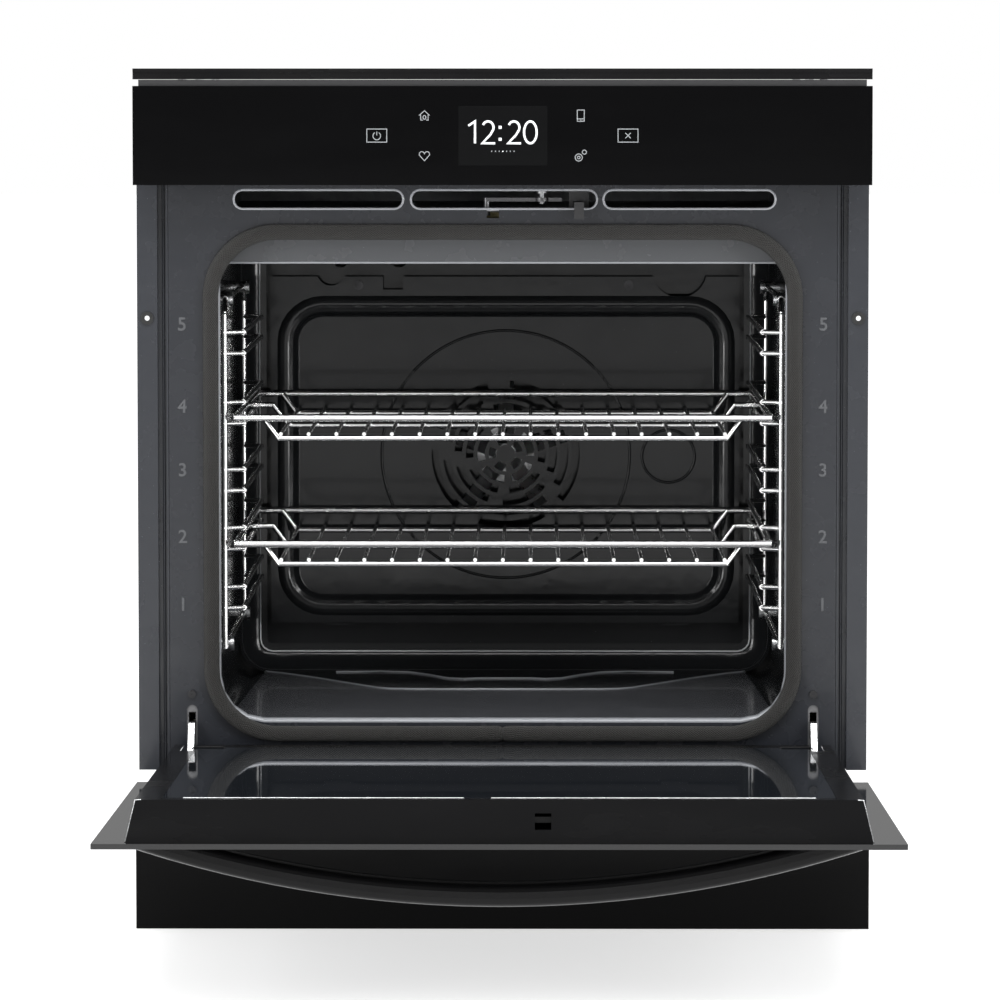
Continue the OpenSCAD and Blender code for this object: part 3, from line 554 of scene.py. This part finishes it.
def plate(name, x0, x1, z0, z1, y, slot, body, material):
    """A thin flat plate facing forward, with a chamfered rim."""
    rim = 0.3 * MM
    left, right, foot, head = x0 + rim, x1 - rim, z0 + rim, z1 - rim
    front = [(left, y, foot), (right, y, foot), (right, y, head), (left, y, head)]
    back = [(x0, y + rim / 2, z0), (x1, y + rim / 2, z0), (x1, y + rim / 2, z1), (x0, y + rim / 2, z1)]
    faces = [(0, 1, 2, 3), (7, 6, 5, 4)] + [(i, i + 4, (i + 1) % 4 + 4, (i + 1) % 4) for i in range(4)]
    return piece(name, front + back, faces, slot, body, smooth=False, material=material)


plate("screen_window", -35.6 * MM, 36.4 * MM, 619 * MM, 667 * MM, WINDOW_Y, "black_glass", "oven", SCREEN)

# The clock, in millimetres from the middle of the panel.
CLOCK_H = 17.6
CLOCK_FOOT = 2.6 - CLOCK_H / 2
CLOCK_STROKE = 1.75
DIGIT_W = 10.6
CLOCK_TEXT = "1220"
CLOCK_X = (-28.6, -16.4, 4.4, 17.2)
COLON_X = (-3.0, -0.6)
COLON_Z = (6.6, -3.0)
COLON_STROKE = 2.4
DAYS = 7
DAY_STEP = 3
DAY_X = (-9.0, -8.2)
DAY_Z = -12.6
DAY_STROKE = 1.0
TODAY = 3

for i, (digit, x) in enumerate(zip(CLOCK_TEXT, CLOCK_X)):
    strokes = [[(x + px, pz + CLOCK_FOOT) for px, pz in line]
               for line in digit_strokes(digit, DIGIT_W, CLOCK_H)]
    mark(f"clock_digit_{i + 1}", strokes, CLOCK_STROKE, WHITE)
for i, z in enumerate(COLON_Z):
    mark(f"clock_dot_{i + 1}", [[(x, z) for x in COLON_X]], COLON_STROKE, WHITE)
for i in range(DAYS):
    mark(f"day_dot_{i + 1}", [[(x + DAY_STEP * i, DAY_Z) for x in DAY_X]], DAY_STROKE,
         WHITE if i == TODAY else DIM)

# The marks, each drawn in millimetres round its own middle.
HOUSE = [[(-4.2, 0.2), (0, 3.9), (4.2, 0.2)], [(-3, 0.8), (-3, -3.6), (-1.3, -3.6)],
         [(3, 0.8), (3, -3.6), (1.3, -3.6)], arc(0, -1.4, 1.2, 1.6, 0, 360, 12)]
HEART = [[(0, -3.8)] + arc(-2.1, 1.4, 2.1, 2.1, 200, 10, 10) + arc(2.1, 1.4, 2.1, 2.1, 170, -20, 10)
         + [(0, -3.8)]]
TABLET = [rectangle(5.6, 9.0), [(-2.8, -2.6), (2.8, -2.6)], [(-0.4, -3.6), (0.4, -3.6)]]
GEARS = [arc(-1.6, -1.2, 2.9, 2.9, 0, 360, 16), arc(-1.6, -1.2, 1.1, 1.1, 0, 360, 10),
         arc(2.9, 3.1, 1.7, 1.7, 0, 360, 12)]
POWER = [rectangle(16, 10.5), arc(0, -0.3, 3.1, 3.1, 120, 420, 18), [(0, 0.2), (0, 3.2)]]
CANCEL = [rectangle(16, 10.5), [(-2.2, -2.2), (2.2, 2.2)], [(-2.2, 2.2), (2.2, -2.2)]]
ICONS = {"power_mark": (POWER, -101, 0), "home_mark": (HOUSE, -62.7, 16), "heart_mark": (HEART, -62.7, -16.4),
         "tablet_mark": (TABLET, 63, 16), "gears_mark": (GEARS, 63, -16.4), "stop_mark": (CANCEL, 101, 0)}
ICON_STROKE = 0.65

for name, (lines, x, z) in ICONS.items():
    mark(name, lines, ICON_STROKE, DIM, at=(x, z))


# ---------------------------------------------------------------- seal and rolled edges

GASKET_LOW, GASKET_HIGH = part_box("door_gasket")
SEAL_HALF = 6.4 * MM
SEAL_DEPTH = (GASKET_HIGH.y - GASKET_LOW.y) / 2
SEAL_Y = GASKET_HIGH.y - SEAL_DEPTH
SEAL_CORNER = 53.6 * MM
SEAL_STEP = 1.0 * MM


def seam_shape(profile, x, z):
    """The seal's two ends meet under the middle of the throat: pinched, with a fine swell beside it."""
    if z > (GASKET_LOW.z + GASKET_HIGH.z) / 2:
        return profile
    d = abs(x)
    swell = 1.0 + 0.06 * math.exp(-((d - 9 * MM) / (9 * MM)) ** 2) - 0.16 * math.exp(-(d / (1.6 * MM)) ** 2)
    swell -= 0.035 * (1 + math.cos(d / MM * math.pi)) * math.exp(-(d / (20 * MM)) ** 2)
    return [(out * min(swell, 1.05), SEAL_Y + (y - SEAL_Y) * min(swell, 1.0)) for out, y in profile]


def woven_seal():
    path = round_path(GASKET_LOW.x + SEAL_HALF, GASKET_HIGH.x - SEAL_HALF,
                      GASKET_LOW.z + SEAL_HALF, GASKET_HIGH.z - SEAL_HALF, SEAL_CORNER, SEAL_STEP)
    seal = sweep("door_seal", path, ellipse(SEAL_HALF, SEAL_DEPTH, SEAL_Y, 20), "seal_weave", "oven",
                 shape=seam_shape)
    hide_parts("door_gasket")


woven_seal()


def rolled_edge(radius, back):
    """Profile of a sheet edge that rolls from the frame's face into the opening and runs back."""
    steps = 5
    angles = [math.pi / 2 * i / steps for i in range(steps + 1)]
    roll = [(radius * (1 - math.sin(a)), FRAME_Y - 0.5 * MM + radius * (1 - math.cos(a))) for a in angles]
    start = [(radius + 1.0 * MM, FRAME_Y + 0.1 * MM)]
    return start + roll + [(0.0, FRAME_Y + back), (0.9 * MM, FRAME_Y + back)]


# The throat and the three air slots in the frame's face.
THROAT_X = 231 * MM
THROAT_Z = (166 * MM, 559 * MM)
THROAT_CORNER = 35 * MM
THROAT_INSET = 0.8 * MM
SLOTS = ((-218, -81.5), (-74, 76), (82.5, 221))
SLOT_Z = (584.3 * MM, 597.7 * MM)
SLOT_CORNER = 6.3 * MM
SLOT_INSET = 0.3


def rolled_edges():
    path = round_path(-THROAT_X + THROAT_INSET, THROAT_X - THROAT_INSET, THROAT_Z[0] + THROAT_INSET,
                      THROAT_Z[1] - THROAT_INSET, THROAT_CORNER, 12 * MM)
    # The rolled edges of the throat and slots take the light edge enamel: a painted highlight along each rim.
    sweep("throat_edge", path, rolled_edge(2.4 * MM, 9 * MM), "frame_enamel", "oven", material=EDGE_HIGHLIGHT)
    for i, (x0, x1) in enumerate(SLOTS):
        path = round_path((x0 + SLOT_INSET) * MM, (x1 - SLOT_INSET) * MM, *SLOT_Z, SLOT_CORNER, 3 * MM)
        sweep(f"slot_edge_{i + 1}", path, rolled_edge(1.0 * MM, 2.2 * MM), "frame_enamel", "oven",
              material=EDGE_HIGHLIGHT)


rolled_edges()


# ---------------------------------------------------------------- cavity

REAR_WALL = 420 * MM
WALL_X = 236 * MM
FLOOR_Z = 163 * MM
CEILING_Z = 566 * MM
CORNER = 24 * MM
# A thin line in the glint enamel along the rear wall: a painted highlight of its rounded corner.
GLINT_LINE = 0.8 * MM
GLINT_LINE_X = 218 * MM
GLINT_LINE_FOOT = 180 * MM
GLINT_LINE_CORNER = 11 * MM
COVER_FRONT = low("fan_cover").y - 0.1 * MM
COVER_DIP = 6 * MM
FIELD_BOX = (-188.5 * MM, 190.5 * MM, 226.5 * MM, 484.5 * MM)
FIELD_CORNER = 27.5 * MM
LIP_X = 226 * MM
LIP_Y = 21.2 * MM
LIP_LOW = 539 * MM
LIP_HIGH = 562 * MM
LIP_RIM = 0.9 * MM


def hollow_corner(radius, steps):
    """Profile of the rounded corner between the side walls and the rear wall."""
    angles = [math.pi / 2 * i / steps for i in range(steps + 1)]
    return [(radius * math.cos(a), REAR_WALL - radius + radius * math.sin(a)) for a in angles]


def dished_step(raised, width, drop_width, steps):
    """Profile of the soft bead round the fan cover's sunk field and of its fall into the field."""
    bead = [(width * (1 - t), COVER_FRONT - raised * math.sin(math.pi * t))
            for t in (i / steps for i in range(steps))]
    fall = [(-drop_width * t, COVER_FRONT + COVER_DIP * t * t * (3 - 2 * t))
            for t in (i / steps for i in range(steps + 1))]
    return bead + fall


def rear_wall():
    """The rounded corner round the rear wall, a thin near-white line along it that paints the corner's highlight,
    and the step of the fan cover.
    """
    path = round_path(CORNER - WALL_X, WALL_X - CORNER, FLOOR_Z + CORNER, CEILING_Z - CORNER, 4 * MM, 6 * MM)
    sweep("rear_corner", path, hollow_corner(CORNER, 8), "cavity_enamel", "oven", closed_profile=False)
    path = round_path(-GLINT_LINE_X, GLINT_LINE_X, GLINT_LINE_FOOT, CEILING_Z - CORNER, GLINT_LINE_CORNER, 4 * MM)
    sweep("rear_glint_line", path, ellipse(GLINT_LINE, GLINT_LINE, REAR_WALL - 2.2 * MM, 10), "cavity_enamel", "oven",
          material=GLINT)
    path = round_path(*FIELD_BOX, FIELD_CORNER, 6 * MM)
    sweep("cover_step", path, dished_step(2.4 * MM, 13 * MM, 6 * MM, 7), "cavity_enamel", "oven",
          closed_profile=False)


def drip_lip():
    # The lip's face is a plate in lighter enamel: painted light on the face that catches the lamps.
    plate("lip_face", -LIP_X, LIP_X, LIP_LOW + 0.5 * MM, LIP_HIGH, LIP_Y, "cavity_enamel", "oven", PAINTED_LIGHT_ENAMEL)
    # The lip's lower rim: a bar in the light edge enamel, a painted highlight line.
    tube("lip_edge", [(-LIP_X, LIP_Y, LIP_LOW), (LIP_X, LIP_Y, LIP_LOW)], LIP_RIM, "cavity_enamel", "oven",
         material=EDGE_HIGHLIGHT)


rear_wall()
drip_lip()

# Half of each ridge on the floor, as (x, y) in millimetres.
FRONT_RIDGE = [(213, 400), (196, 385), (165, 345), (134, 300), (110, 266), (98, 257), (80, 254)]
REAR_RIDGE = [(150, 398), (110, 402), (85, 396), (66, 372), (50, 345), (36, 338), (24, 345)]
FIELD_FRONT = [(222, 26), (226, 40)]
RIDGE_RADIUS = 1.1 * MM


def floor_ridge(name, half_points, height):
    """A low pressed ridge on the cavity floor, the same on both sides, in a light enamel that paints a highlight
    along it.
    """
    left = [(-x * MM, y * MM, FLOOR_Z + height) for x, y in half_points]
    right = [(x * MM, y * MM, FLOOR_Z + height) for x, y in reversed(half_points)]
    tube(name, left + right, RIDGE_RADIUS, "cavity_enamel", "oven", material=EDGE_HIGHLIGHT)


def floor_field():
    """The raised field of the cavity floor, in front of the ridge, in a lighter enamel: painted light on the floor
    that faces the lamps.
    """
    half = FIELD_FRONT + FRONT_RIDGE
    outline = half + [(-x, y) for x, y in reversed(half)]
    count = len(outline)
    verts = [(x * MM, y * MM, z) for z in (FLOOR_Z + 0.1 * MM, FLOOR_Z + 0.5 * MM) for x, y in outline]
    faces = [tuple(reversed(range(count))), tuple(range(count, 2 * count))]
    faces += [(i, (i + 1) % count, (i + 1) % count + count, i + count) for i in range(count)]
    piece("floor_field", verts, faces, "cavity_enamel", "oven", smooth=False, material=PAINTED_LIGHT_FLOOR_ENAMEL)


floor_ridge("floor_ridge_front", FRONT_RIDGE, 0.4 * MM)
floor_field()
floor_ridge("floor_ridge_rear", REAR_RIDGE, 0.2 * MM)


# ---------------------------------------------------------------- painted highlight lines and clips on the door

# Places on the closed door, in millimetres. The pane's painted highlight line is in two lengths.
PANE_EDGE_Y = -9.5
PANE_EDGE_Z = 565.9
PANE_EDGES = ((-232, -26), (-6, 232))
PANE_EDGE_RADIUS = 0.55
CAP_EDGE = [(262, -9.3, 581.4), (266.2, -9.6, 581.4), (273.3, -39.6, 587.0)]
CAP_EDGE_RADIUS = 0.45
CLIP_WIRE = [(251, -10.2), (249, -8.6), (226, -8.6), (224, -9.6)]
CLIP_Z = (141.8, 146.2)
CLIP_RADIUS = 0.5


def door_bar(name, points, radius, slot, material=None):
    """A bar on the door, given by its place on the closed door."""
    tube(name, [(x * MM, y * MM, z * MM) for x, y, z in points], radius * MM, slot, "door", material=material,
         matrix=DOOR)


# Thin bright bars along the pane's edge and the cap's edges: painted highlight lines.
for i, ends in enumerate(PANE_EDGES):
    door_bar(f"pane_edge_{i + 1}", [(x, PANE_EDGE_Y, PANE_EDGE_Z) for x in ends], PANE_EDGE_RADIUS,
             "clear_pane", EDGE_GLINT_METAL)
for side, name in ((-1, "left"), (1, "right")):
    door_bar(f"cap_edge_{name}", [(side * x, y, z) for x, y, z in CAP_EDGE], CAP_EDGE_RADIUS, "black_trim",
             EDGE_GLINT_METAL)
    for k, z in enumerate(CLIP_Z):
        door_bar(f"pane_clip_{name}_{k + 1}", [(side * x, y, z) for x, y in CLIP_WIRE], CLIP_RADIUS,
                 "black_trim")


# ---------------------------------------------------------------- casing screws

# Rings (radius, height) of a hexagon washer-head screw, in millimetres. The hexagon starts at ring HEX_RING.
SCREW_RINGS = [(5.4, 0.0), (5.4, 0.9), (4.0, 1.2), (3.9, 3.0), (3.2, 3.6)]
HEX_RING = 2
HALF_FLAT = math.radians(30)


def hexagon(a):
    """Distance from the middle of a hexagon to its rim in direction a, where a corner is at 1."""
    return math.cos(HALF_FLAT) / math.cos((a + HALF_FLAT) % (2 * HALF_FLAT) - HALF_FLAT)


def screw_heads(name, places, out):
    """Screws at the given places, all facing the way that out points."""
    sides = 24
    turn = Vector((0, 0, 1)).rotation_difference(Vector(out)).to_matrix()
    verts, faces = [], []
    for place in places:
        start = len(verts)
        for k, (radius, height) in enumerate(SCREW_RINGS):
            for i in range(sides):
                a = 2 * math.pi * i / sides
                r = radius * (hexagon(a) if k >= HEX_RING else 1.0)
                verts.append(Vector(place) + turn @ Vector((r * math.cos(a), r * math.sin(a), height)) * MM)
        for k in range(len(SCREW_RINGS) - 1):
            for i in range(sides):
                j = (i + 1) % sides
                a, b = start + k * sides, start + (k + 1) * sides
                faces.append((a + i, a + j, b + j, b + i))
        faces.append(tuple(start + (len(SCREW_RINGS) - 1) * sides + i for i in range(sides)))
        faces.append(tuple(start + i for i in reversed(range(sides))))
    piece(name, verts, faces, "bright_steel", "oven")


# Outer faces of the sheets. The motor's cover stands out of the rear panel, and the pressed ribs stand out of
# the sides.
MOTOR_COVER_OUT = 10 * MM
RIB_OUT = 2 * MM
REAR_FACE = high("rear_panel").y - MOTOR_COVER_OUT
SIDE_FACE = high("side_panel_right").x - RIB_OUT
TOP_FACE = high("top_cover").z

# Places of the casing screws, in millimetres.
SCREW_X = (-262, 262)
REAR_SCREW_Z = (50, 200, 350, 500, 660)
SIDE_SCREW_Y = (40, 500)
SIDE_SCREW_Z = (60, 340, 600)
TOP_SCREW_Y = (30, 270, 510)


def casing_screws():
    places = [(x * MM, REAR_FACE, z * MM) for x in SCREW_X for z in REAR_SCREW_Z]
    screw_heads("rear_screws", places, (0, 1, 0))
    for name, side in (("side_screws_left", -1), ("side_screws_right", 1)):
        places = [(side * SIDE_FACE, y * MM, z * MM) for y in SIDE_SCREW_Y for z in SIDE_SCREW_Z]
        screw_heads(name, places, (side, 0, 0))
    places = [(x * MM, y * MM, TOP_FACE) for x in SCREW_X for y in TOP_SCREW_Y]
    screw_heads("top_screws", places, (0, 0, 1))


casing_screws()


# ---------------------------------------------------------------- raised level numbers

# Middles of the five level numbers, in millimetres.
LEVEL_Z = (261, 316.5, 371, 423, 490)
LEVEL_X = {"left": -261, "right": 261}
LEVEL_HEIGHT = 11 * MM
LEVEL_RELIEF = 0.25 * MM
SIZE_PER_HEIGHT = 1.38


def number(name, text, x, z, height):
    """A digit that stands out of the frame's face."""
    curve = bpy.data.curves.new(name, "FONT")
    curve.body = text
    curve.size = height * SIZE_PER_HEIGHT
    curve.align_x = "CENTER"
    curve.extrude = LEVEL_RELIEF
    curve.bevel_depth = LEVEL_RELIEF
    curve.bevel_resolution = 2
    text_object = bpy.data.objects.new(name, curve)
    bpy.context.scene.collection.objects.link(text_object)
    mesh = bpy.data.meshes.new_from_object(text_object)
    bpy.data.objects.remove(text_object)
    foot = Matrix.Translation((x, FRAME_Y - 0.15 * MM, z - height / 2))
    mesh.transform(foot @ Matrix.Rotation(math.pi / 2, 4, "X"))
    mesh.materials.clear()
    # The digits take the lighter enamel: painted highlights on their relief.
    mesh.materials.append(PAINTED_LIGHT_ENAMEL)
    made = bpy.data.objects.new(name, mesh)
    bpy.context.scene.collection.objects.link(made)
    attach(made, "oven")


for level, z in enumerate(LEVEL_Z, start=1):
    for side, x in LEVEL_X.items():
        number(f"level_{level}_{side}", str(level), x * MM, z * MM, LEVEL_HEIGHT)


# ---------------------------------------------------------------- studio and camera

# Brightness of the room level with the horizon and at ROOM_TOP above it. The backdrop is 1.
ROOM_LOW = 0.35
ROOM_HIGH = 0.9
ROOM_TOP = 0.8
FLOOR_SIZE = 60
FLOOR_GLOW = 0.62
# Place, target, width, height and power of each lamp.
LAMPS = {"key": ((0.0, -1.6, 2.4), (0.0, 0.0, 0.3), 2.2, 1.0, 55),
         "left": ((-2.0, -2.2, 1.0), (0.0, 0.0, 0.4), 0.5, 1.8, 34),
         "right": ((2.0, -2.2, 1.0), (0.0, 0.0, 0.4), 0.5, 1.8, 34)}
CAMERA_LENS = 202.7
CAMERA_PLACE = (0.0231, -4.580, 0.6857)
CAMERA_PITCH = math.radians(90 - 4.24)
CAMERA_YAW = math.radians(0.316)


def surround():
    """A white backdrop to look at, and a dimmer room to light and reflect, brighter overhead."""
    world = bpy.data.worlds.new("studio")
    world.use_nodes = True
    tree = world.node_tree
    backdrop = tree.nodes["Background"]
    backdrop.inputs["Strength"].default_value = 1.0
    backdrop.inputs["Color"].default_value = (1.0, 1.0, 1.0, 1.0)
    room = tree.nodes.new("ShaderNodeBackground")
    seen = tree.nodes.new("ShaderNodeLightPath")
    both = tree.nodes.new("ShaderNodeMixShader")
    way = tree.nodes.new("ShaderNodeTexCoord")
    parts = tree.nodes.new("ShaderNodeSeparateXYZ")
    rise = tree.nodes.new("ShaderNodeMapRange")
    ends = {"From Min": 0.0, "From Max": ROOM_TOP, "To Min": ROOM_LOW, "To Max": ROOM_HIGH}
    for key, value in ends.items():
        rise.inputs[key].default_value = value
    tree.links.new(way.outputs["Generated"], parts.inputs["Vector"])
    tree.links.new(parts.outputs["Z"], rise.inputs["Value"])
    tree.links.new(rise.outputs["Result"], room.inputs["Strength"])
    tree.links.new(seen.outputs["Is Camera Ray"], both.inputs["Fac"])
    tree.links.new(room.outputs["Background"], both.inputs[1])
    tree.links.new(backdrop.outputs["Background"], both.inputs[2])
    tree.links.new(both.outputs["Shader"], tree.nodes["World Output"].inputs["Surface"])
    bpy.context.scene.world = world


def studio():
    bpy.ops.mesh.primitive_plane_add(size=FLOOR_SIZE, location=(0, 0, 0))
    floor = bpy.context.object
    floor.name = "floor"
    s = Shader("floor paint", (0.86, 0.86, 0.86), rough=0.75)
    s.link(s.mix(s.noise(1.5), (0.85, 0.85, 0.85), (0.87, 0.87, 0.87)), s.bsdf.inputs["Base Color"])
    s.set("Emission Color", (1.0, 1.0, 1.0, 1.0)).set("Emission Strength", FLOOR_GLOW)
    floor.data.materials.append(s.material)
    surround()
    for name, (place, target, width, height, power) in LAMPS.items():
        light = bpy.data.lights.new(name, "AREA")
        light.shape = "RECTANGLE"
        light.size = width
        light.size_y = height
        light.energy = power
        lamp = bpy.data.objects.new(name, light)
        bpy.context.scene.collection.objects.link(lamp)
        lamp.location = place
        lamp.rotation_euler = (Vector(target) - Vector(place)).to_track_quat("-Z", "Y").to_euler()


def camera():
    lens = bpy.data.cameras.new("camera")
    lens.lens = CAMERA_LENS
    lens.sensor_width = 36
    lens.clip_start = 0.1
    made = bpy.data.objects.new("camera", lens)
    bpy.context.scene.collection.objects.link(made)
    made.location = CAMERA_PLACE
    made.rotation_euler = (CAMERA_PITCH, 0.0, CAMERA_YAW)
    bpy.context.scene.camera = made


studio()
camera()
bpy.context.scene.view_settings.view_transform = "Standard"
